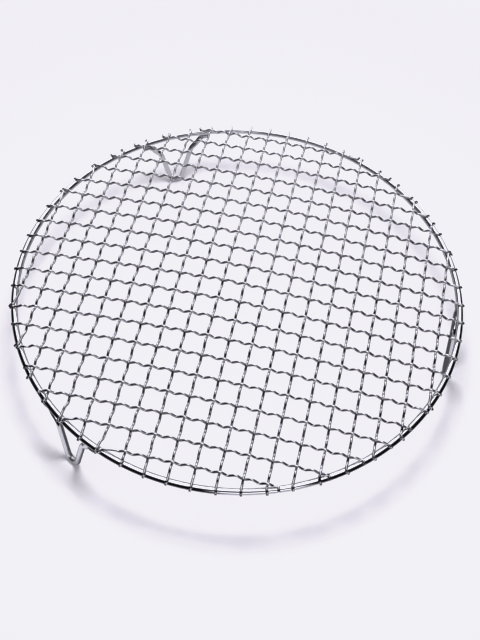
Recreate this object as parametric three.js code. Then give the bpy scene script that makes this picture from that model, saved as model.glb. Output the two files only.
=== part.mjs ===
// Round woven-wire cooling rack on three bent-wire feet.
// Millimetres, +Z up. Origin on the floor, under the centre of the rim.
// +X points at the right foot and +Y to the rear.
import * as THREE from "three";

// ---- rim ----
const RIM_WIRE_D = 3.2;
const RIM_R = 113.4; // centre line
const RIM_Z = 37.6; // centre line above the floor
const RIM_STEPS = 96;

// ---- mesh ----
const MESH_WIRE_D = 1.2;
const MESH_OPENING = 9.8; // clear width between neighbouring wires
const MESH_PITCH = MESH_OPENING + MESH_WIRE_D;
const MESH_COUNT = 20; // wires in each direction
const MESH_OFFSET_X = -1.43; // the mesh sits a little off the rim's centre
const MESH_OFFSET_Y = -0.74;
const DOME_RISE = 10.14; // mesh crown above its level at the rim
const DOME_POWER = 1.44; // shape of the crown: 1 - (r/R)^power
const WEAVE_LIFT = 0.88; // a wire's distance above or below the mesh surface at a crossing
const CRIMP_DEPTH = 0.85; // and at each of the two crimps between crossings
const CROSSING_MARGIN = 1.6; // wires meeting closer inside the rim than this do not cross

// ---- wire ends, hooked over the rim ----
// Hook angles are in degrees: 90 is the rim's top, 0 its outer side.
const HOOK_R = 2.43;
const HOOK_START_DEG = 98;
const HOOK_END_DEG = { row: 30, column: 8 };
const HOOK_STEPS = { row: 3, column: 4 };
const HOOK_MIN_GAP = 1.7; // neighbouring ends that share a corner stay this far apart
const HOOK_PAIR_REACH = 3; // ends further apart than this, along the rim, are left alone
const LOOSE_EXTRA_R = 0.75; // a loose hook starts this much wider
const LOOSE_FADE_STEPS = 2.5; // and loses the extra over this many steps
const LOOSE_REACH = 4; // an upper crossing this close to its wire's end makes a loose hook

// ---- feet ----
const FOOT_WIRE_D = 3.0;
const FOOT_AZIMUTHS = { right: 0, rear_left: 121.5, front_left: 238 }; // degrees from +X
const FOOT_TOP_R = 111.75; // distance from the rack's axis at the welded ends
const FOOT_TIP_R = 114.0; // and at the floor: the feet splay outwards slightly
const FOOT_FLARE = 19.3; // half-width across the flared, welded ends
const FOOT_KNEE = 9.8; // half-width where a flare turns down into a leg
const FOOT_KNEE_DROP = 9.2; // knee below the rim's centre line
const FOOT_WELD_DROP = 3.4; // flared end's centre line below the rim's centre line

// ---- wire sections: sides of the polygon that stands for a round wire ----
const HEAVY_SIDES = 8; // rim and feet
const MESH_SIDES = 4;

const { degToRad } = THREE.MathUtils;

function brightSteel(name) {
  return new THREE.MeshStandardMaterial({
    name,
    color: 0xc9ccd0,
    roughness: 0.22,
    metalness: 1.0,
  });
}

function addPiece(group, name, geometry) {
  const mesh = new THREE.Mesh(geometry, brightSteel(name + "_steel"));
  mesh.name = name;
  group.add(mesh);
  return mesh;
}

// ---- sweeping a wire ----
// corner radius of the regular polygon equal in area to a round wire
function sectionRadius(diameter, sides) {
  const areaRatio = Math.PI / ((sides / 2) * Math.sin((2 * Math.PI) / sides));
  return (diameter / 2) * Math.sqrt(areaRatio);
}

// makes a vector square to a direction, and of unit length
function squareTo(vector, direction) {
  return vector.addScaledVector(direction, -vector.dot(direction)).normalize();
}

// one "up" vector per segment, carried outwards from flatSegment by the smallest turn
function segmentUps(directions, flatSegment) {
  const ups = [];
  ups[flatSegment] = squareTo(new THREE.Vector3(0, 0, 1), directions[flatSegment]);
  const carry = (from, to) => {
    const turn = new THREE.Quaternion().setFromUnitVectors(directions[from], directions[to]);
    ups[to] = squareTo(ups[from].clone().applyQuaternion(turn), directions[to]);
  };
  for (let k = flatSegment + 1; k < directions.length; k++) carry(k - 1, k);
  for (let k = flatSegment - 1; k >= 0; k--) carry(k + 1, k);
  return ups;
}

// Closed solid of a polygonal section along a polyline, mitred at each corner.
// On flatSegment a flat side of the section faces up.
function sweep({ points, diameter, sides, flatSegment = 0, closed = false }) {
  const path = points.map((point) => new THREE.Vector3(...point));
  const segments = closed ? path.length : path.length - 1;
  const directions = [];
  for (let k = 0; k < segments; k++) {
    const next = path[(k + 1) % path.length];
    directions.push(next.clone().sub(path[k]).normalize());
  }
  const ups = segmentUps(directions, flatSegment);
  const radius = sectionRadius(diameter, sides);

  const positions = [];
  path.forEach((centre, k) => {
    const before = closed ? (k + segments - 1) % segments : Math.max(k - 1, 0);
    const after = Math.min(k, segments - 1);
    const direction = directions[after];
    const mitreNormal = directions[before].clone().add(direction).normalize();
    const across = new THREE.Vector3().crossVectors(direction, ups[after]);
    for (let m = 0; m < sides; m++) {
      const angle = ((m + 0.5) / sides) * 2 * Math.PI;
      const corner = ups[after]
        .clone()
        .multiplyScalar(radius * Math.cos(angle))
        .addScaledVector(across, radius * Math.sin(angle));
      // slide along the segment onto the mitre plane
      const slide = -corner.dot(mitreNormal) / direction.dot(mitreNormal);
      corner.addScaledVector(direction, slide).add(centre);
      positions.push(corner.x, corner.y, corner.z);
    }
  });

  const index = [];
  for (let k = 0; k < segments; k++) {
    const near = k * sides;
    const far = ((k + 1) % path.length) * sides;
    for (let m = 0; m < sides; m++) {
      const n = (m + 1) % sides;
      index.push(near + m, near + n, far + m);
      index.push(near + n, far + n, far + m);
    }
  }
  if (!closed) {
    const last = (path.length - 1) * sides;
    for (let m = 1; m < sides - 1; m++) {
      index.push(0, m + 1, m);
      index.push(last, last + m, last + m + 1);
    }
  }
  const geometry = new THREE.BufferGeometry();
  geometry.setAttribute("position", new THREE.Float32BufferAttribute(positions, 3));
  geometry.setIndex(index);
  geometry.computeVertexNormals();
  return geometry;
}

// ---- rim ring ----
function rimRing() {
  const points = [];
  for (let k = 0; k < RIM_STEPS; k++) {
    const angle = (k / RIM_STEPS) * 2 * Math.PI;
    points.push([RIM_R * Math.cos(angle), RIM_R * Math.sin(angle), 0]);
  }
  return sweep({ points, diameter: RIM_WIRE_D, sides: HEAVY_SIDES, closed: true });
}

// ---- mesh layout, about the rim's centre ----
// columns run front to back at x = columnX[column]; rows run left to right at y = rowY[row]
const columnX = [];
const rowY = [];
for (let k = 0; k < MESH_COUNT; k++) {
  const fromMiddle = (k - (MESH_COUNT - 1) / 2) * MESH_PITCH;
  columnX.push(fromMiddle + MESH_OFFSET_X);
  rowY.push(fromMiddle + MESH_OFFSET_Y);
}

// height of the domed mesh surface
function meshZ(x, y) {
  return HOOK_R + DOME_RISE * (1 - Math.pow(Math.hypot(x, y) / RIM_R, DOME_POWER));
}

// Wires that would meet too close to the rim reach it side by side instead.
function isCrossing(column, row) {
  return Math.hypot(columnX[column], rowY[row]) < RIM_R - CROSSING_MARGIN;
}

// every wire end's place on the rim, as an angle; sign is -1 at a wire's first end, 1 at its last
const ends = { column: [], row: [] };
for (let k = 0; k < MESH_COUNT; k++) {
  const columnReach = Math.sqrt(RIM_R ** 2 - columnX[k] ** 2);
  const rowReach = Math.sqrt(RIM_R ** 2 - rowY[k] ** 2);
  for (const sign of [-1, 1]) {
    ends.column.push({ k, sign, angle: Math.atan2(sign * columnReach, columnX[k]) });
    ends.row.push({ k, sign, angle: Math.atan2(rowY[k], sign * rowReach) });
  }
}

// moves a column's and a row's end apart where they share a corner of the weave
function separate(columnEnd, rowEnd) {
  const turn = rowEnd.angle - columnEnd.angle;
  const gap = Math.atan2(Math.sin(turn), Math.cos(turn)); // wrapped to half a turn either way
  if (Math.abs(gap) * RIM_R > HOOK_PAIR_REACH) return;
  // uncrossed, the row's end lies further round in this direction; a crossing swaps them
  const { angle } = columnEnd;
  const quadrant = Math.sign(Math.sin(angle)) * Math.sign(Math.cos(angle));
  const side = isCrossing(columnEnd.k, rowEnd.k) ? -quadrant : quadrant;
  const shortfall = HOOK_MIN_GAP / RIM_R - gap * side;
  if (shortfall > 0) {
    rowEnd.angle += (shortfall / 2) * side;
    columnEnd.angle -= (shortfall / 2) * side;
  }
}
// each pair starts from the angles the earlier pairs have left
for (const columnEnd of ends.column) {
  for (const rowEnd of ends.row) separate(columnEnd, rowEnd);
}

// ---- mesh wires ----
// whether a wire's outermost crossing lies close to its end and on the upper side of the weave
function isLoose([x, y, z], { angle }) {
  const distance = Math.hypot(x - RIM_R * Math.cos(angle), y - RIM_R * Math.sin(angle));
  return distance < LOOSE_REACH && z > meshZ(x, y);
}

// the bent end: over the top of the rim and down its outer side
function hook(family, end, crossing) {
  const extra = isLoose(crossing, end) ? LOOSE_EXTRA_R : 0;
  const steps = HOOK_STEPS[family];
  const sweepDeg = HOOK_END_DEG[family] - HOOK_START_DEG;
  const points = [];
  for (let k = 0; k <= steps; k++) {
    const bend = degToRad(HOOK_START_DEG + (sweepDeg * k) / steps);
    const bendR = HOOK_R + extra * Math.max(0, 1 - k / LOOSE_FADE_STEPS);
    const r = RIM_R + bendR * Math.cos(bend);
    points.push([r * Math.cos(end.angle), r * Math.sin(end.angle), bendR * Math.sin(bend)]);
  }
  return points;
}

function meshWire(family, k) {
  const isColumn = family === "column";
  const woven = [];
  for (let m = 0; m < MESH_COUNT; m++) {
    const column = isColumn ? k : m;
    const row = isColumn ? m : k;
    if (!isCrossing(column, row)) continue;
    const columnIsOver = (column - row) % 2 === 0;
    const side = columnIsOver === isColumn ? 1 : -1;
    // a point some pitches back along the wire from this crossing
    const addPoint = (pitchesBack, lift) => {
      const back = pitchesBack * MESH_PITCH;
      const x = columnX[column] - (isColumn ? 0 : back);
      const y = rowY[row] - (isColumn ? back : 0);
      woven.push([x, y, meshZ(x, y) + lift]);
    };
    // the two crimps since the previous crossing
    if (woven.length) {
      addPoint(2 / 3, side * CRIMP_DEPTH);
      addPoint(1 / 3, -side * CRIMP_DEPTH);
    }
    addPoint(0, side * WEAVE_LIFT);
  }
  const findEnd = (sign) => ends[family].find((end) => end.k === k && end.sign === sign);
  const head = hook(family, findEnd(-1), woven[0]).reverse();
  const tail = hook(family, findEnd(1), woven[woven.length - 1]);
  return sweep({
    points: [...head, ...woven, ...tail],
    diameter: MESH_WIRE_D,
    sides: MESH_SIDES,
    flatSegment: head.length,
  });
}

// ---- feet: flared ends under the rim, two legs and a rounded tip with a level underside ----
// drawn standing on the +X side, facing outwards
function foot() {
  // the lowest flat of the section rests on the floor
  const tipZ = sectionRadius(FOOT_WIRE_D, HEAVY_SIDES) * Math.cos(Math.PI / HEAVY_SIDES);
  const topZ = RIM_Z - FOOT_WELD_DROP;
  const kneeZ = RIM_Z - FOOT_KNEE_DROP;
  // half of the outline, tip to flare: [half-width, height of the centre line]
  const half = [
    [1.3, tipZ],
    [2.6, tipZ + 0.75],
    [3.4, tipZ + 2.3],
    [FOOT_KNEE - 1.1, kneeZ - 2.8],
    [FOOT_KNEE + 0.1, kneeZ - 0.5],
    [FOOT_KNEE + 2.2, kneeZ + 1.0],
    [FOOT_FLARE - 3.6, topZ - 1.2],
    [FOOT_FLARE, topZ],
  ];
  const mirrored = half.map(([width, z]) => [-width, z]).reverse();
  const splay = (FOOT_TIP_R - FOOT_TOP_R) / (topZ - tipZ); // outwards per mm down
  const points = [...mirrored, ...half].map(([y, z]) => [
    FOOT_TOP_R + splay * (topZ - z),
    y,
    z,
  ]);
  return sweep({
    points,
    diameter: FOOT_WIRE_D,
    sides: HEAVY_SIDES,
    flatSegment: half.length - 1,
  });
}

// ---- assembly ----
const rack = new THREE.Group();
rack.name = "cooling_rack";
// the deck, rim and mesh, is drawn about the rim's centre; the feet from the floor up
const deck = new THREE.Group();
deck.name = "deck";
deck.position.z = RIM_Z;
const feet = new THREE.Group();
feet.name = "feet";
rack.add(deck, feet);

addPiece(deck, "rim_ring", rimRing());
for (const family of ["row", "column"]) {
  for (let k = 0; k < MESH_COUNT; k++) {
    const number = String(k + 1).padStart(2, "0");
    addPiece(deck, `mesh_${family}_wire_${number}`, meshWire(family, k));
  }
}
for (const [place, azimuth] of Object.entries(FOOT_AZIMUTHS)) {
  addPiece(feet, "foot_" + place, foot()).rotation.z = degToRad(azimuth);
}

export default rack;
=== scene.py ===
# A round wire rack: a domed mesh of 20 by 20 woven wires hooked over a rim ring that stands on
# three bent wire feet. It is centred on the z axis and stands on z = 0; the viewer is towards -y.
import math

import bpy
import numpy as np
from mathutils import Matrix, Vector


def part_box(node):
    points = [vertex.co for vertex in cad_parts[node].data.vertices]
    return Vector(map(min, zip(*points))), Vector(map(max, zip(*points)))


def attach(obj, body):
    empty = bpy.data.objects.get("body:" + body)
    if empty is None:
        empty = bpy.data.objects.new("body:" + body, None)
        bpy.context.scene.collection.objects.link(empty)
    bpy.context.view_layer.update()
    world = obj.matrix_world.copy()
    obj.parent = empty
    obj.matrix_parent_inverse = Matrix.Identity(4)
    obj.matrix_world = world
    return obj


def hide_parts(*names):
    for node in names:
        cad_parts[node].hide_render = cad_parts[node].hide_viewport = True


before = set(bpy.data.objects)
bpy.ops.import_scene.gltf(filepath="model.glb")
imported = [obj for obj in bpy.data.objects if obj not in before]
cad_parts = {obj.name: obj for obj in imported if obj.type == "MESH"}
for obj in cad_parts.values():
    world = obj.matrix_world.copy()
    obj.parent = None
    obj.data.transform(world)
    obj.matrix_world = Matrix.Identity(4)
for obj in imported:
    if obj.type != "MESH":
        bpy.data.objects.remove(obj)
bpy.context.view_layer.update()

MM = 0.001
rng = np.random.default_rng(11)

# ------------------------------------------------------------------ dimensions
# Names in _RHO are wire radii. Azimuths are in degrees from +x, counterclockwise from above.
RIM_RHO = 1.6 * MM
rim_low, rim_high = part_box("rim_ring")
RIM_Z = (rim_low.z + rim_high.z) / 2
RIM_R = (rim_high.x - rim_low.x) / 2 - (rim_high.z - rim_low.z) / 2 - 0.02 * MM
RIM_R = round(RIM_R / MM, 1) * MM
RIM_WELD_AZ = 74.0

MESH_RHO = 0.6 * MM
COUNT = 20  # wires each way
PITCH = 11.0 * MM
OFF_X, OFF_Y = -1.43 * MM, -0.74 * MM  # the weave's centre
MESH_LIFT = 2.43 * MM  # mesh above the rim's centre line, at the rim
RISE, POWER = 10.14 * MM, 1.44  # the dome's height and the power of its profile
CRIMP = 0.80 * MM  # crimp depth at a crossing
SWELL = 0.90 * MM  # depth of the two crimps between crossings

HOOK_R = RIM_RHO + MESH_RHO + 0.03 * MM  # the mesh wire's bend round the rim
HOOK_START = 100.0  # degrees round the rim's section: 0 is outward, 90 is up
HOOK_STOP = {"row": 36.0, "column": 16.0}
HOOK_GAP = 1.7 * MM  # least distance between neighbouring hooks, along the rim

FOOT_RHO = 1.5 * MM
FOOT_AZ = {"right": 0.0, "rear_left": 121.5, "front_left": 238.0}
FOOT_TOP_R, FOOT_TIP_R = 111.75 * MM, 114.0 * MM  # distance from the axis, top and bottom
FLARE, KNEE = 19.3 * MM, 9.8 * MM  # half-widths at the rim and at the knee
TOP_Z = RIM_Z - RIM_RHO - FOOT_RHO + 0.04 * MM
KNEE_Z = RIM_Z - 9.2 * MM
TIP_Z = FOOT_RHO
FOOT_HEAT = FLARE - 2.4 * MM  # centre of the heat colours, sideways from the foot's middle
BEAD_AT, BEAD_LENGTH, BEAD_RHO = FLARE - 2.3 * MM, 4.2 * MM, 1.12 * MM

# Half of a foot's centre line, from its lowest point up to the rim: sideways, height.
FOOT_HALF = np.array(
    [
        [0.0, TIP_Z],
        [1.6 * MM, TIP_Z + 0.06 * MM],
        [2.9 * MM, TIP_Z + 1.0 * MM],
        [3.6 * MM, TIP_Z + 2.8 * MM],
        [KNEE - 1.2 * MM, KNEE_Z - 3.0 * MM],
        [KNEE + 0.1 * MM, KNEE_Z - 0.3 * MM],
        [KNEE + 2.3 * MM, KNEE_Z + 1.6 * MM],
        [FLARE - 5.2 * MM, TOP_Z - 1.15 * MM],
        [FLARE - 3.4 * MM, TOP_Z - 0.1 * MM],
        [FLARE, TOP_Z],
    ]
)

# Domed end of a cut wire, in wire radii: ring radius, distance past the end.
CAP_RINGS = ((0.93, 0.10), (0.80, 0.17), (0.45, 0.22))
CAP_TIP = 0.24

# Azimuths of the bright parts of the surroundings
VIEWER_AZ, REAR_AZ = -67, 100
WHITE = (0.97, 0.965, 1.0, 1)  # backdrop and far floor

COLUMN_X = [(k - (COUNT - 1) / 2) * PITCH + OFF_X for k in range(COUNT)]
ROW_Y = [(k - (COUNT - 1) / 2) * PITCH + OFF_Y for k in range(COUNT)]


# ------------------------------------------------------------------ curves
def ease(t):
    t = np.clip(t, 0, 1)
    return t * t * (3 - 2 * t)


def bell(distance, width):
    return np.exp(-((distance / width) ** 2))


def run_length(path):
    """Distance along the path at each point."""
    return np.r_[0, np.cumsum(np.linalg.norm(np.diff(path, axis=0), axis=1))]


def resample(path, step):
    length = run_length(path)
    count = max(2, int(round(length[-1] / step)) + 1)
    at = np.linspace(0, length[-1], count)
    return np.stack([np.interp(at, length, path[:, axis]) for axis in range(3)], -1)


def soften(path, sigma):
    """Smooths an evenly spaced open path and keeps its ends; sigma is in samples."""
    reach = int(4 * sigma) + 1
    kernel = np.exp(-0.5 * (np.arange(-reach, reach + 1) / sigma) ** 2)
    kernel /= kernel.sum()
    before = 2 * path[0] - path[reach:0:-1]
    after = 2 * path[-1] - path[-2 : -reach - 2 : -1]
    padded = np.concatenate([before, path, after])
    return np.stack([np.convolve(padded[:, axis], kernel, "valid") for axis in range(3)], -1)


def frames(path, closed):
    """Tangent, normal and binormal at each point, twisting as little as possible."""
    if closed:
        tangent = np.roll(path, -1, 0) - np.roll(path, 1, 0)
    else:
        tangent = np.gradient(path, axis=0)
    tangent /= np.linalg.norm(tangent, axis=1)[:, None]
    normal = np.zeros_like(path)
    up = np.array([0, 0, 1.0])
    if abs(tangent[0] @ up) > 0.9:
        up = np.array([1.0, 0, 0])
    first = up - (up @ tangent[0]) * tangent[0]
    normal[0] = first / np.linalg.norm(first)
    for k in range(1, len(path)):
        # two reflections carry the normal from one point to the next
        step = path[k] - path[k - 1]
        square = step @ step
        moved = normal[k - 1] - (2 / square) * (step @ normal[k - 1]) * step
        mirrored = tangent[k - 1] - (2 / square) * (step @ tangent[k - 1]) * step
        turn = tangent[k] - mirrored
        square = turn @ turn
        if square > 1e-18:
            moved = moved - (2 / square) * (turn @ moved) * turn
        moved = moved - (moved @ tangent[k]) * tangent[k]
        normal[k] = moved / np.linalg.norm(moved)
    return tangent, normal, np.cross(tangent, normal)


# ------------------------------------------------------------------ meshes
def add_object(name, data):
    ob = bpy.data.objects.new(name, data)
    bpy.context.scene.collection.objects.link(ob)
    return ob


def sweep(name, path, radius, sides, marks, closed=False, height=1.0):
    """A round wire along path, as one closed mesh. Its UV map runs around (0 to 1) and along
    (metres). marks holds point attributes, one value or one per ring; height scales the
    section vertically, all but its end caps."""
    count = len(path)
    radius = np.broadcast_to(np.asarray(radius, float), (count,))
    tangent, normal, binormal = frames(path, closed)
    angle = (np.arange(sides) / sides * 2 * np.pi)[None, :, None]
    spokes = normal[:, None, :] * np.cos(angle) + binormal[:, None, :] * np.sin(angle)
    skin = path[:, None, :] + spokes * radius[:, None, None] * np.array([1, 1, height])
    verts = skin.reshape(-1, 3).tolist()
    ring_of = np.repeat(np.arange(count), sides).tolist()

    length = run_length(path)
    stops = np.r_[length, length[-1] + np.linalg.norm(path[0] - path[-1])]
    spans = count if closed else count - 1
    ring_at = np.arange(spans)[:, None, None] + np.array([0, 1, 1, 0])
    side_at = np.arange(sides)[None, :, None] + np.array([1, 1, 0, 0])
    faces = ((ring_at % count) * sides + side_at % sides).reshape(-1, 4).tolist()
    corners = (spans, sides, 4)
    u = np.broadcast_to(side_at / sides, corners).ravel().tolist()
    v = np.broadcast_to(stops[ring_at], corners).ravel().tolist()

    def add_face(face, end, side, outward):
        faces.append(face[::-1] if outward > 0 else face)
        u.extend([side / sides] * len(face))
        v.extend([length[end]] * len(face))

    for end, outward in () if closed else ((0, -1.0), (count - 1, 1.0)):
        centre, size = path[end], radius[end]
        previous = end * sides
        for shrink, push in CAP_RINGS:
            start = len(verts)
            ring = centre + spokes[end] * size * shrink + outward * tangent[end] * size * push
            verts.extend(ring.tolist())
            ring_of.extend([end] * sides)
            for k in range(sides):
                after = (k + 1) % sides
                face = [previous + k, previous + after, start + after, start + k]
                add_face(face, end, k, outward)
            previous = start
        tip = len(verts)
        verts.append((centre + outward * tangent[end] * size * CAP_TIP).tolist())
        ring_of.append(end)
        for k in range(sides):
            add_face([previous + k, previous + (k + 1) % sides, tip], end, k, outward)

    mesh = bpy.data.meshes.new(name)
    mesh.from_pydata(verts, [], faces)
    mesh.validate()
    uv_map = mesh.uv_layers.new(name="wire")
    uv_map.data.foreach_set("uv", np.stack([u, v], -1).astype(np.float32).ravel())
    for key, value in marks.items():
        per_ring = np.broadcast_to(np.asarray(value, np.float32), (count,))
        attribute = mesh.attributes.new(key, "FLOAT", "POINT")
        attribute.data.foreach_set("value", per_ring[np.array(ring_of)])
    mesh.polygons.foreach_set("use_smooth", np.ones(len(mesh.polygons), bool))
    mesh.update()
    return add_object(name, mesh)


def finish_piece(ob, material, slot, *replaced):
    ob.data.materials.append(material)
    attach(ob, "root")
    if replaced:
        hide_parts(*replaced)


# ------------------------------------------------------------------ shader graphs
class Graph:
    """The emptied node tree of a material or world, with short ways to fill it."""

    def __init__(self, owner):
        owner.use_nodes = True
        self.tree = owner.node_tree
        self.tree.nodes.clear()

    def node(self, kind, inputs=None, **settings):
        """A new node; each input is given a value or another node's output."""
        node = self.tree.nodes.new("ShaderNode" + kind)
        for key, value in settings.items():
            setattr(node, key, value)
        for key, value in (inputs or {}).items():
            if isinstance(value, bpy.types.NodeSocket):
                self.tree.links.new(value, node.inputs[key])
            else:
                node.inputs[key].default_value = value
        return node

    def math(self, operation, *values, clamp=False):
        inputs = dict(enumerate(values))
        return self.node("Math", inputs, operation=operation, use_clamp=clamp).outputs[0]

    def mix(self, factor, a, b, **settings):
        inputs = {"Factor": factor, "A": a, "B": b}
        return self.node("Mix", inputs, data_type="RGBA", **settings).outputs["Result"]

    def colours(self, factor, stops):
        """A colour ramp; stops are (position, colour) in rising order."""
        node = self.node("ValToRGB", {0: factor})
        elements = node.color_ramp.elements
        for element, (position, colour) in zip(elements, (stops[0], stops[-1])):
            element.position, element.color = position, colour
        for position, colour in stops[1:-1]:
            elements.new(position).color = colour
        return node.outputs[0]

    def fade(self, value, zero_at, one_at):
        """Eased from 0 at zero_at to 1 at one_at, whichever is the larger."""
        falling = one_at < zero_at
        inputs = {
            "From Min": min(zero_at, one_at),
            "From Max": max(zero_at, one_at),
            "To Min": 1.0 if falling else 0.0,
            "To Max": 0.0 if falling else 1.0,
            "Value": value,
        }
        return self.node("MapRange", inputs, interpolation_type="SMOOTHSTEP").outputs[0]

    def squares(self, x, y):
        return self.math("ADD", self.math("MULTIPLY", x, x), self.math("MULTIPLY", y, y))

    def around(self, x, y, azimuth, half, soft):
        """1 where the direction (x, y) lies within half degrees of the azimuth."""
        along_x = self.math("MULTIPLY", x, math.cos(math.radians(azimuth)))
        along_y = self.math("MULTIPLY", y, math.sin(math.radians(azimuth)))
        dot = self.math("ADD", along_x, along_y)
        length = self.math("SQRT", self.math("ADD", self.squares(x, y), 1e-9))
        cosine = self.math("MINIMUM", self.math("DIVIDE", dot, length), 1.0)
        degrees = self.math("MULTIPLY", self.math("ARCCOSINE", cosine), 180 / math.pi)
        return self.fade(degrees, zero_at=half + soft, one_at=half - soft)

    def mirrored(self, light_path):
        """1 for what the camera sees mirrored in a wire; 0 for light that reaches the floor
        by way of a wire."""
        direct = self.math("LESS_THAN", light_path.outputs["Diffuse Depth"], 0.5)
        return self.math("MULTIPLY", light_path.outputs["Is Glossy Ray"], direct)

    def glow(self, kind, colour, strength):
        """An Emission or Background shader."""
        return self.node(kind, {"Color": colour, "Strength": strength}).outputs[0]

    def choose(self, factor, at_zero, at_one):
        return self.node("MixShader", {0: factor, 1: at_zero, 2: at_one}).outputs[0]


# ------------------------------------------------------------------ steel
# Tint beside a weld by heat: straw, then a trace of brown and blue
HEAT_TINTS = (
    (0.0, (1, 1, 1, 1)),
    (0.30, (1.0, 0.93, 0.80, 1)),
    (0.55, (0.86, 0.70, 0.52, 1)),
    (0.75, (0.60, 0.50, 0.58, 1)),
    (1.0, (0.42, 0.43, 0.50, 1)),
)
LINE_SHADE = (0.80, 0.80, 0.815)  # the dark lines' colour, as a share of the base
LINE_RANGE = (0.30, 0.72)  # noise levels of the darkest and the brightest lines
SMEAR_TINT, SMEAR_MIX = (0.86, 0.85, 0.84, 1), 0.35
WORN_COLOUR, WORN_MIX = (0.52, 0.52, 0.53, 1), 0.7
HEAT_MOTTLE = 0.8  # how far the smears break up the heat colours
NICK_LEVEL = 0.74  # noise above this is a nick
CRIMP_ROUGH, WEAR_ROUGH, HEAT_ROUGH, NICK_ROUGH = 0.07, 0.28, 0.14, 0.10  # added roughness
LINE_RELIEF, FINE_RELIEF = 0.6, 0.4  # shares of the two line noises in the bump


def steel(name, base, rough, line, smear, seed):
    """Bright drawn steel wire. Fine lines run along the wire, with soft smears, a few nicks,
    a die mark at each crimp ("crimp"), a duller worn spot ("wear") and heat colours by a
    weld ("heat"). line and smear set how much those two vary the roughness."""
    material = bpy.data.materials.new(name)
    graph = Graph(material)
    calc = graph.math
    wire_uv = graph.node("UVMap", uv_map="wire").outputs[0]
    around, along = graph.node("SeparateXYZ", {0: wire_uv}).outputs[:2]
    turn = calc("MULTIPLY", around, 2 * math.pi)
    cosine, sine = calc("COSINE", turn), calc("SINE", turn)

    def noise(across, lengthwise, detail, roughness, offset):
        """Noise on the wire's surface, with its own frequency across and along the wire."""
        place = {
            0: calc("MULTIPLY", cosine, across),
            1: calc("MULTIPLY", sine, across),
            2: calc("MULTIPLY_ADD", along, lengthwise, offset + seed),
        }
        inputs = {
            "Scale": 1.0,
            "Detail": detail,
            "Roughness": roughness,
            "Vector": graph.node("CombineXYZ", place).outputs[0],
        }
        return graph.node("TexNoise", inputs).outputs[0]

    lines = noise(across=7.0, lengthwise=55.0, detail=4.0, roughness=0.65, offset=0.0)
    fine = noise(across=22.0, lengthwise=160.0, detail=3.0, roughness=0.6, offset=7.0)
    smears = noise(across=0.9, lengthwise=90.0, detail=3.0, roughness=0.55, offset=3.0)
    specks = noise(across=3.2, lengthwise=900.0, detail=1.0, roughness=0.5, offset=11.0)
    nicks = calc("GREATER_THAN", specks, NICK_LEVEL)
    crimp, wear, heat = (
        graph.node("Attribute", attribute_name=key).outputs["Fac"]
        for key in ("crimp", "wear", "heat")
    )

    dark = tuple(part * shade for part, shade in zip(base, LINE_SHADE))
    colour = graph.colours(lines, ((LINE_RANGE[0], (*dark, 1)), (LINE_RANGE[1], (*base, 1))))
    smeared = calc("MULTIPLY", smears, SMEAR_MIX)
    colour = graph.mix(smeared, colour, SMEAR_TINT, blend_type="MULTIPLY")
    mottle = calc("MULTIPLY", calc("SUBTRACT", smears, 0.5), calc("MULTIPLY", heat, HEAT_MOTTLE))
    tint = graph.colours(calc("ADD", heat, mottle, clamp=True), HEAT_TINTS)
    colour = graph.mix(1.0, colour, tint, blend_type="MULTIPLY")
    colour = graph.mix(calc("MULTIPLY", wear, WORN_MIX, clamp=True), colour, WORN_COLOUR)

    roughness = calc("MULTIPLY_ADD", lines, line * 0.5, rough - line * 0.25)
    added = ((smears, smear), (crimp, CRIMP_ROUGH), (wear, WEAR_ROUGH), (heat, HEAT_ROUGH))
    for mark, gain in added:
        roughness = calc("MULTIPLY_ADD", mark, gain, roughness)
    roughness = calc("MULTIPLY_ADD", nicks, NICK_ROUGH, roughness, clamp=True)

    drawn = calc(
        "ADD", calc("MULTIPLY", lines, LINE_RELIEF), calc("MULTIPLY", fine, FINE_RELIEF)
    )
    drawn_bump = graph.node("Bump", {"Strength": 0.08, "Distance": 0.00004, "Height": drawn})
    pits = {
        "Strength": 0.35,
        "Distance": 0.00003,
        "Height": calc("ADD", nicks, calc("MULTIPLY", wear, fine)),
        "Normal": drawn_bump.outputs[0],
    }
    surface = {
        "Base Color": colour,
        "Metallic": 1.0,
        "Roughness": roughness,
        "Normal": graph.node("Bump", pits, invert=True).outputs[0],
    }
    graph.node("OutputMaterial", {0: graph.node("BsdfPrincipled", surface).outputs[0]})
    return material


# ------------------------------------------------------------------ rim
def arc_distance(azimuths, azimuth):
    """Distance along the rim from each of azimuths to azimuth, all in radians."""
    return np.abs(np.angle(np.exp(1j * (azimuths - azimuth)))) * RIM_R


def build_rim(material):
    steps = 1080
    turn = np.arange(steps) / steps * 2 * np.pi
    from_weld = arc_distance(turn, math.radians(RIM_WELD_AZ))
    # the ring is a little out of round and out of flat
    radius = RIM_R + (0.05 * MM * np.sin(3 * turn + 0.7) + 0.03 * MM * np.sin(5 * turn + 2.1))
    height = RIM_Z + (0.06 * MM * np.sin(2 * turn + 1.3) + 0.03 * MM * np.sin(7 * turn))
    path = np.stack([radius * np.cos(turn), radius * np.sin(turn), height], -1)
    heat = bell(from_weld, 3.2 * MM)
    for azimuth in FOOT_AZ.values():
        for side in (-1, 1):
            weld = math.radians(azimuth) + side * FOOT_HEAT / RIM_R
            heat = np.maximum(heat, 0.55 * bell(arc_distance(turn, weld), 2.8 * MM))
    # a narrow ridge at the ring's own weld, in a wider shallow neck
    weld_shape = 1 + 0.05 * bell(from_weld, 0.55 * MM) - 0.012 * bell(from_weld, 2.4 * MM)
    marks = {"heat": heat, "wear": 0.0, "crimp": 0.0}
    rim = sweep("rim_ring_wire", path, RIM_RHO * weld_shape, 40, marks, closed=True)
    finish_piece(rim, material, "rim_steel", "rim_ring")


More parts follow.
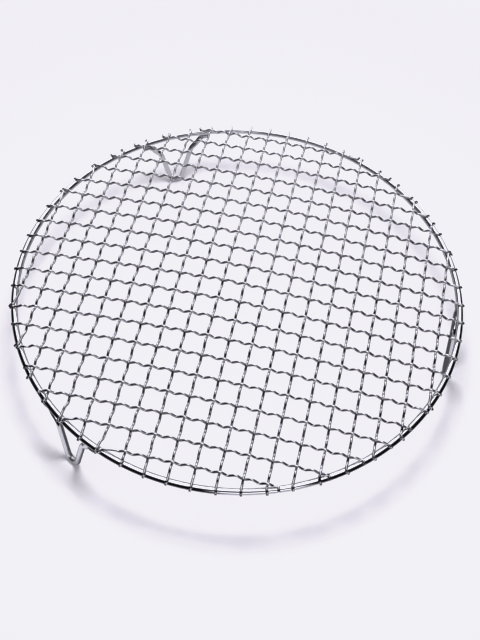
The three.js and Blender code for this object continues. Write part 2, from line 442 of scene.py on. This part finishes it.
# ------------------------------------------------------------------ woven mesh
# Columns run along y, rows along x. A wire's start is its -1 side, its end the +1 side.
def mesh_z(x, y):
    return RIM_Z + MESH_LIFT + RISE * (1 - (np.hypot(x, y) / RIM_R) ** POWER)


def is_crossing(column, row):
    return math.hypot(COLUMN_X[column], ROW_Y[row]) < RIM_R - RIM_RHO


def column_row(family, k, other):
    """Column and row of the place where wire k of the family meets wire other."""
    return (k, other) if family == "column" else (other, k)


def passes_over(family, column, row):
    return ((column - row) % 2 == 0) == (family == "column")


def half_chord(offset):
    return math.sqrt(RIM_R**2 - offset**2)


def hook_azimuths():
    """Where each wire end meets the rim, by (family, wire, side), in radians."""
    azimuths = {}
    for k in range(COUNT):
        x, y = COLUMN_X[k], ROW_Y[k]
        for side in (-1, 1):
            azimuths["column", k, side] = math.atan2(side * half_chord(x), x)
            azimuths["row", k, side] = math.atan2(y, side * half_chord(y))
    # a row and a column hook that fall close together are moved apart along the rim
    for column in [key for key in azimuths if key[0] == "column"]:
        for row in [key for key in azimuths if key[0] == "row"]:
            angle = azimuths[column]
            gap = azimuths[row] - angle
            gap = math.atan2(math.sin(gap), math.cos(gap))
            if abs(gap) * RIM_R > 3 * MM:
                continue
            quadrant = math.copysign(1, math.sin(angle)) * math.copysign(1, math.cos(angle))
            side = -quadrant if is_crossing(column[1], row[1]) else quadrant
            lacking = HOOK_GAP / RIM_R - gap * side
            if lacking > 0:
                shift = lacking / 2 * side
                azimuths[row] += shift
                azimuths[column] -= shift
    return azimuths


def hook(family, azimuth, loose):
    """Points over the rim, from just inside its top and down its outer side. A loose hook
    starts higher, for a wire that has just passed over another."""
    stop = HOOK_STOP[family] + rng.uniform(-6, 6)
    drift = rng.uniform(-0.35, 0.35) * MM
    share = np.arange(41) / 40
    angle = np.radians(HOOK_START + (stop - HOOK_START) * share)
    bend = HOOK_R + 0.10 * MM * share**3
    if loose:
        bend = bend + 0.72 * MM * np.maximum(0.0, 1 - share * 3.2)
    radius = RIM_R + bend * np.cos(angle)
    around = azimuth + drift * share / RIM_R
    height = RIM_Z + bend * np.sin(angle)
    return np.stack([radius * np.cos(around), radius * np.sin(around), height], -1)


def crosses_over_near(family, k, azimuth):
    """True if wire k passes over another within 4 mm of its hook."""
    for other in range(COUNT):
        column, row = column_row(family, k, other)
        distance = math.hypot(
            COLUMN_X[column] - RIM_R * math.cos(azimuth), ROW_Y[row] - RIM_R * math.sin(azimuth)
        )
        over = passes_over(family, column, row)
        if is_crossing(column, row) and over and distance < 4 * MM:
            return True
    return False


def crimp_wave(cells):
    """Three half-waves to a cell, changing sign from each crossing to the next."""
    cell = np.floor(cells)
    part = cells - cell
    cosine = np.cos(3 * np.pi * part)
    wave = np.where(
        part < 1 / 3,
        (CRIMP - SWELL) / 2 + (CRIMP + SWELL) / 2 * cosine,
        np.where(
            part < 2 / 3, SWELL * cosine, (SWELL - CRIMP) / 2 + (CRIMP + SWELL) / 2 * cosine
        ),
    )
    return np.where(cell % 2 == 0, 1.0, -1.0) * wave


def near_ends(length, inset, blend):
    """1 within inset of either end of a wire, easing to 0 over blend beyond it."""
    start = ease(1 - (length - inset) / blend)
    return np.maximum(start, ease(1 - (length[-1] - length - inset) / blend))


def wire_path(family, k, azimuths):
    """Centre line of mesh wire k, hook to hook, and how near each point is to a crimp crest."""
    is_column = family == "column"
    fixed = COLUMN_X[k] if is_column else ROW_Y[k]
    across = ROW_Y if is_column else COLUMN_X
    half = half_chord(fixed)
    along = np.arange(-half, half, 0.2 * MM)

    # the wave runs on almost to the rim, and further where a crossing lies close to it
    met = [across[m] for m in range(COUNT) if is_crossing(*column_row(family, k, m))]
    run_on, run_out = 5.0 * MM, 3.4 * MM
    fade = ease((along - (min(met) - run_on)) / run_out)
    fade = fade * ease(((max(met) + run_on) - along) / run_out)
    reach = RIM_R - np.hypot(fixed, along)
    fade = np.maximum(fade, ease((reach - 2.4 * MM) / (2.6 * MM)))
    cells = (along - across[0]) / PITCH
    sign = 1.0 if passes_over(family, *column_row(family, k, 0)) else -1.0
    depth = 1 + 0.04 * np.sin(2 * np.pi * cells / 5.3 + k)
    level = np.full_like(along, fixed)
    x, y = (level, along) if is_column else (along, level)
    z = mesh_z(x, y) + depth * fade * (sign * crimp_wave(cells))
    # the wires wander a little sideways
    wander = 0.06 * MM * np.sin(2 * np.pi * along / (47 * MM) + 1.7 * k)
    wander = wander + 0.04 * MM * np.sin(2 * np.pi * along / (19 * MM) + 0.6 * k)
    if is_column:
        x = x + wander
    else:
        y = y + wander
    points = np.stack([x, y, z], -1)

    hooks = []
    for side in (-1, 1):
        azimuth = azimuths[family, k, side]
        hooks.append(hook(family, azimuth, crosses_over_near(family, k, azimuth)))
    # lean the last stretch over to where the hook starts
    for (start, *_), at in zip(hooks, (-half, half)):
        straight = np.array([fixed, at] if is_column else [at, fixed])
        shift = start[:2] - straight * (1 - 0.4 * MM / RIM_R)
        points[:, :2] += ease(1 - np.abs(along - at) / (9 * MM))[:, None] * shift
        rise = start[2] - (RIM_Z + MESH_LIFT)
        points[:, 2] += ease(1 - np.abs(along - at) / (4 * MM)) * rise
    keep = np.hypot(points[:, 0], points[:, 1]) < RIM_R - 0.3 * MM
    for start, *_ in hooks:
        keep &= np.linalg.norm(points[:, :2] - start[:2], axis=1) > 0.9 * MM

    path = resample(np.concatenate([hooks[0][::-1], points[keep], hooks[1]]), 0.2 * MM)
    # crimps keep their own shape: the smoothed path is blended in only near the ends
    weight = near_ends(run_length(path), inset=11 * MM, blend=3 * MM)[:, None]
    path = resample(path * (1 - weight) + soften(path, 2.2) * weight, 0.32 * MM)
    from_first = path[:, 1 if is_column else 0] - across[0]
    crest = np.abs(np.cos(3 * np.pi * from_first / PITCH)) ** 6
    length = run_length(path)
    crest *= ease((length - 9 * MM) / (4 * MM)) * ease((length[-1] - length - 9 * MM) / (4 * MM))
    return path, crest


def build_mesh(material):
    azimuths = hook_azimuths()
    for family in ("row", "column"):
        for k in range(COUNT):
            path, crest = wire_path(family, k, azimuths)
            node = f"mesh_{family}_wire_{k + 1:02d}"
            marks = {"crimp": crest, "wear": 0.0, "heat": 0.0}
            wire = sweep(f"{node}_drawn", path, MESH_RHO * (1 - 0.03 * crest), 14, marks)
            finish_piece(wire, material, "mesh_steel", node)


# ------------------------------------------------------------------ feet
def build_foot(where, azimuth, material):
    outline = np.concatenate([FOOT_HALF[:0:-1] * [-1, 1], FOOT_HALF])
    drop = (TOP_Z - outline[:, 1]) / (TOP_Z - TIP_Z)
    outward = FOOT_TOP_R + (FOOT_TIP_R - FOOT_TOP_R) * drop
    # columns: outward from the axis, sideways, height
    local = soften(resample(np.stack([outward, *outline.T], -1), 0.25 * MM), 3.6)
    # keep the flared ends on the rim's own curve
    weight = ease((np.abs(local[:, 1]) - (FLARE - 5.5 * MM)) / (3 * MM))
    on_rim = np.sqrt(RIM_R**2 - local[:, 1] ** 2)
    local[:, 0] = local[:, 0] * (1 - weight) + on_rim * weight
    outward, sideways, height = local.T
    cosine, sine = math.cos(azimuth), math.sin(azimuth)
    path = np.stack(
        [outward * cosine - sideways * sine, outward * sine + sideways * cosine, height], -1
    )
    path[:, 2] += TIP_Z - path[:, 2].min()
    heat = bell(np.abs(sideways) - FOOT_HEAT, 3.0 * MM) * (height > TOP_Z - 2.5 * MM)
    wear = ease(1 - (height - TIP_Z) / (1.6 * MM))
    marks = {"heat": 0.8 * heat, "wear": wear, "crimp": 0.0}
    foot = sweep(f"foot_{where}_wire", path, FOOT_RHO, 32, marks)
    finish_piece(foot, material, "foot_steel", f"foot_{where}")


def build_bead(where, azimuth, tag, side, material):
    """A small squeezed weld bead in the nip between rim and foot."""
    share = np.linspace(-1, 1, 41)
    around = azimuth + side * BEAD_AT / RIM_R + share * BEAD_LENGTH / 2 / RIM_R
    height = np.full_like(around, RIM_Z - RIM_RHO)
    path = np.stack([RIM_R * np.cos(around), RIM_R * np.sin(around), height], -1)
    taper = np.sqrt(np.clip(1 - share**2, 0, 1)) * 0.86 + 0.10
    phase = FOOT_AZ[where]  # sets each foot's ripple apart
    ripple = 1 + 0.05 * np.sin(share * 13 + phase) + 0.04 * np.sin(share * 29 + 2 * side)
    marks = {"heat": 0.75, "wear": 0.0, "crimp": 0.0}
    name = f"foot_{where}_weld_{tag}"
    bead = sweep(name, path, BEAD_RHO * taper * ripple, 24, marks, height=0.62)
    finish_piece(bead, material, "foot_steel")


def build_feet(foot_material, weld_material):
    for where, degrees in FOOT_AZ.items():
        azimuth = math.radians(degrees)
        build_foot(where, azimuth, foot_material)
        for tag, side in (("a", -1), ("b", 1)):
            build_bead(where, azimuth, tag, side, weld_material)


# ------------------------------------------------------------------ floor
def floor_material():
    """A pale matt sheet. Mirrored in the wires it shows a painted reflection, an emission that is
    dim under the front of the rack (painted shade), brighter to the rear, white in a band round
    it and out to the viewer and the rear, dark elsewhere."""
    material = bpy.data.materials.new("pale_floor")
    graph = Graph(material)
    calc = graph.math
    position = graph.node("NewGeometry").outputs["Position"]
    x, y = graph.node("SeparateXYZ", {0: position}).outputs[:2]
    distance = calc("SQRT", graph.squares(x, y))
    # distance from the centre towards the rear
    rearward = calc("MULTIPLY_ADD", x, -0.174, calc("MULTIPLY", y, 0.985))
    rear_half = calc("MULTIPLY", graph.fade(rearward, zero_at=0.02, one_at=0.09), 0.5)
    # painted shade: in the painted reflection the sheet is dim under the rack, 0.20 at its
    # dimmest, lighter under the rear half
    under = calc("MAXIMUM", graph.fade(distance, zero_at=0.112, one_at=0.122), rear_half)
    under_lit = calc("MULTIPLY_ADD", under, 1.0, 0.20)  # 0.20 is the dimmest part under it
    near = calc("MULTIPLY", graph.fade(distance, zero_at=0.150, one_at=0.142), under_lit)
    sectors = calc(
        "MAXIMUM",
        graph.around(x, y, VIEWER_AZ, half=15, soft=3),
        graph.around(x, y, REAR_AZ, half=42, soft=6),
    )
    wide = calc("MULTIPLY", graph.fade(distance, zero_at=0.40, one_at=0.30), sectors)
    bright, dark = 0.88, 0.012
    strength = calc("MULTIPLY_ADD", calc("MAXIMUM", near, wide), bright, dark)
    # painted reflection: the wires mirror this emission, not the lit sheet
    reflected = graph.glow("Emission", (0.93, 0.925, 0.95, 1), strength)
    # painted light: a glow away from the rack keeps the sheet pale to its edge
    painted_glow_strength = calc("MULTIPLY", graph.fade(distance, zero_at=0.20, one_at=0.62), 0.62)
    painted_far_glow = graph.glow("Emission", WHITE, painted_glow_strength)
    matt = graph.node("BsdfDiffuse", {0: (0.86, 0.853, 0.872, 1)}).outputs[0]
    sheet = graph.node("AddShader", {0: matt, 1: painted_far_glow}).outputs[0]
    seen = graph.choose(graph.mirrored(graph.node("LightPath")), sheet, reflected)
    graph.node("OutputMaterial", {0: seen})
    return material


def build_floor():
    half, z = 3.0, -0.00005
    mesh = bpy.data.meshes.new("floor")
    corners = [(-half, -half, z), (half, -half, z), (half, half, z), (-half, half, z)]
    mesh.from_pydata(corners, [], [(0, 1, 2, 3)])
    add_object("floor", mesh)
    mesh.materials.append(floor_material())


# ------------------------------------------------------------------ world and light
def build_world():
    """The room. The wires mirror a wide soft light overhead, dark sides, and low bright parts
    towards the viewer and the rear; the camera sees a plain backdrop."""
    world = bpy.data.worlds.new("studio")
    bpy.context.scene.world = world
    graph = Graph(world)
    calc = graph.math
    direction = graph.node("TexCoord").outputs["Generated"]
    x, y, z = graph.node("SeparateXYZ", {0: direction}).outputs
    limited = calc("MAXIMUM", calc("MINIMUM", z, 1.0), -1.0)
    elevation = calc("MULTIPLY", calc("ARCSINE", limited), 180 / math.pi)
    top = graph.fade(elevation, zero_at=59.0, one_at=67.0)
    gap = graph.around(x, y, VIEWER_AZ, half=18, soft=4)
    gap = calc("MULTIPLY", gap, graph.fade(elevation, zero_at=38.0, one_at=33.0))
    rear = graph.around(x, y, REAR_AZ, half=42, soft=8)
    above_floor = graph.fade(elevation, zero_at=2.5, one_at=6.0)
    low = calc("MULTIPLY", above_floor, calc("MAXIMUM", gap, rear))
    bright, dark = 1.8, 0.012
    strength = calc("MULTIPLY_ADD", calc("MAXIMUM", top, low), bright, dark)
    reflected = graph.glow("Background", (0.985, 0.985, 1.0, 1), strength)
    ambient = graph.glow("Background", WHITE, strength=0.655)
    backdrop = graph.glow("Background", WHITE, strength=1.2)
    light_path = graph.node("LightPath")
    plain = graph.choose(light_path.outputs["Is Camera Ray"], ambient, backdrop)
    seen = graph.choose(graph.mirrored(light_path), plain, reflected)
    graph.node("OutputWorld", {0: seen})


def build_key():
    """A round soft box close overhead, wide enough to blur out the mesh's own shadow."""
    key = bpy.data.lights.new("key", "AREA")
    key.shape = "DISK"
    key.size = 0.15
    key.energy = 1.7
    key.color = (1.0, 0.985, 0.97)
    ob = add_object("key", key)
    ob.location = (0.0, 0.0, 0.46)
    aim = Vector((0.0, 0.0, 0.02)) - ob.location
    ob.rotation_euler = aim.to_track_quat("-Z", "Y").to_euler()
    ob.visible_glossy = False
    ob.visible_camera = False


# ------------------------------------------------------------------ camera
CAMERA_AT = Vector((0.0522877, -0.2956819, 0.4411237))
CAMERA_RIGHT = Vector((0.97484105, 0.2198634, 0.03667442))
CAMERA_UP = Vector((-0.19929669, 0.78604265, 0.58516475))
CAMERA_BACK = CAMERA_RIGHT.cross(CAMERA_UP)


def build_camera():
    camera = bpy.data.cameras.new("camera")
    ob = add_object("camera", camera)
    matrix = Matrix((CAMERA_RIGHT, CAMERA_UP, CAMERA_BACK)).transposed().to_4x4()
    matrix.translation = CAMERA_AT
    ob.matrix_world = matrix
    camera.lens = 55.11
    camera.sensor_width = 36.0
    camera.sensor_fit = "AUTO"
    camera.shift_y = -0.03046875
    camera.clip_start = 0.01
    bpy.context.scene.camera = ob


def build_painted_reflection_card():
    """A dark round card behind the camera, seen only mirrored in the wires: a painted dark
    reflection that casts no shadow.
    """
    radius, behind = 0.11, 0.03
    points = [
        CAMERA_AT
        + CAMERA_RIGHT * (radius * math.cos(angle))
        + CAMERA_UP * (radius * math.sin(angle))
        + CAMERA_BACK * behind
        for angle in np.linspace(0, 2 * math.pi, 48, endpoint=False)
    ]
    mesh = bpy.data.meshes.new("painted_reflection_card")
    mesh.from_pydata(points, [], [list(range(48))])
    card = add_object("painted_reflection_card", mesh)
    material = bpy.data.materials.new("painted_dark_reflection")
    graph = Graph(material)
    # painted reflection: a dark emission that only the wires' reflections show
    dark = graph.node("Emission", {"Color": (0.02, 0.02, 0.022, 1)})
    graph.node("OutputMaterial", {0: dark.outputs[0]})
    mesh.materials.append(material)
    for kind in ("camera", "diffuse", "shadow", "transmission", "volume_scatter"):
        setattr(card, f"visible_{kind}", False)


# Tone curve: scene value, shown value. White is exposed up to its limit and the middle
# tones are held down.
TONES = (
    (0.0, 0.0), (0.12, 0.066), (0.35, 0.222), (0.60, 0.455), (0.80, 0.70),
    (0.92, 0.85), (1.0, 0.882), (1.25, 0.892), (2.0, 0.985),
)  # fmt: skip
CHANNEL_WHITES = (0.996, 0.988, 1.030)  # scale of the shown value: red, green, blue


def set_tones():
    view = bpy.context.scene.view_settings
    view.view_transform = "Standard"
    view.look = "None"
    view.exposure = 0.0
    view.use_curve_mapping = True
    mapping = view.curve_mapping
    mapping.extend = "HORIZONTAL"
    mapping.clip_max_x = 4.0
    mapping.clip_max_y = 1.5
    for channel, white in enumerate(CHANNEL_WHITES):
        points = mapping.curves[channel].points
        first, *middle, last = [(value, shown * white) for value, shown in TONES]
        points[0].location = first
        points[-1].location = last
        for value, shown in middle:
            points.new(value, shown)
    mapping.update()


# ------------------------------------------------------------------ build
mesh_steel = steel(
    "mesh_wire_steel", base=(0.80, 0.80, 0.82), rough=0.025, line=0.03, smear=0.02, seed=0.0
)
rim_steel = steel(
    "rim_wire_steel", base=(0.84, 0.84, 0.86), rough=0.05, line=0.05, smear=0.03, seed=31.0
)
foot_steel = steel(
    "foot_wire_steel", base=(0.78, 0.78, 0.80), rough=0.07, line=0.08, smear=0.05, seed=57.0
)
weld_steel = steel(
    "weld_steel", base=(0.62, 0.61, 0.61), rough=0.30, line=0.10, smear=0.16, seed=83.0
)
build_rim(rim_steel)
build_mesh(mesh_steel)
build_feet(foot_steel, weld_steel)
build_floor()
build_world()
build_key()
build_camera()
build_painted_reflection_card()
set_tones()
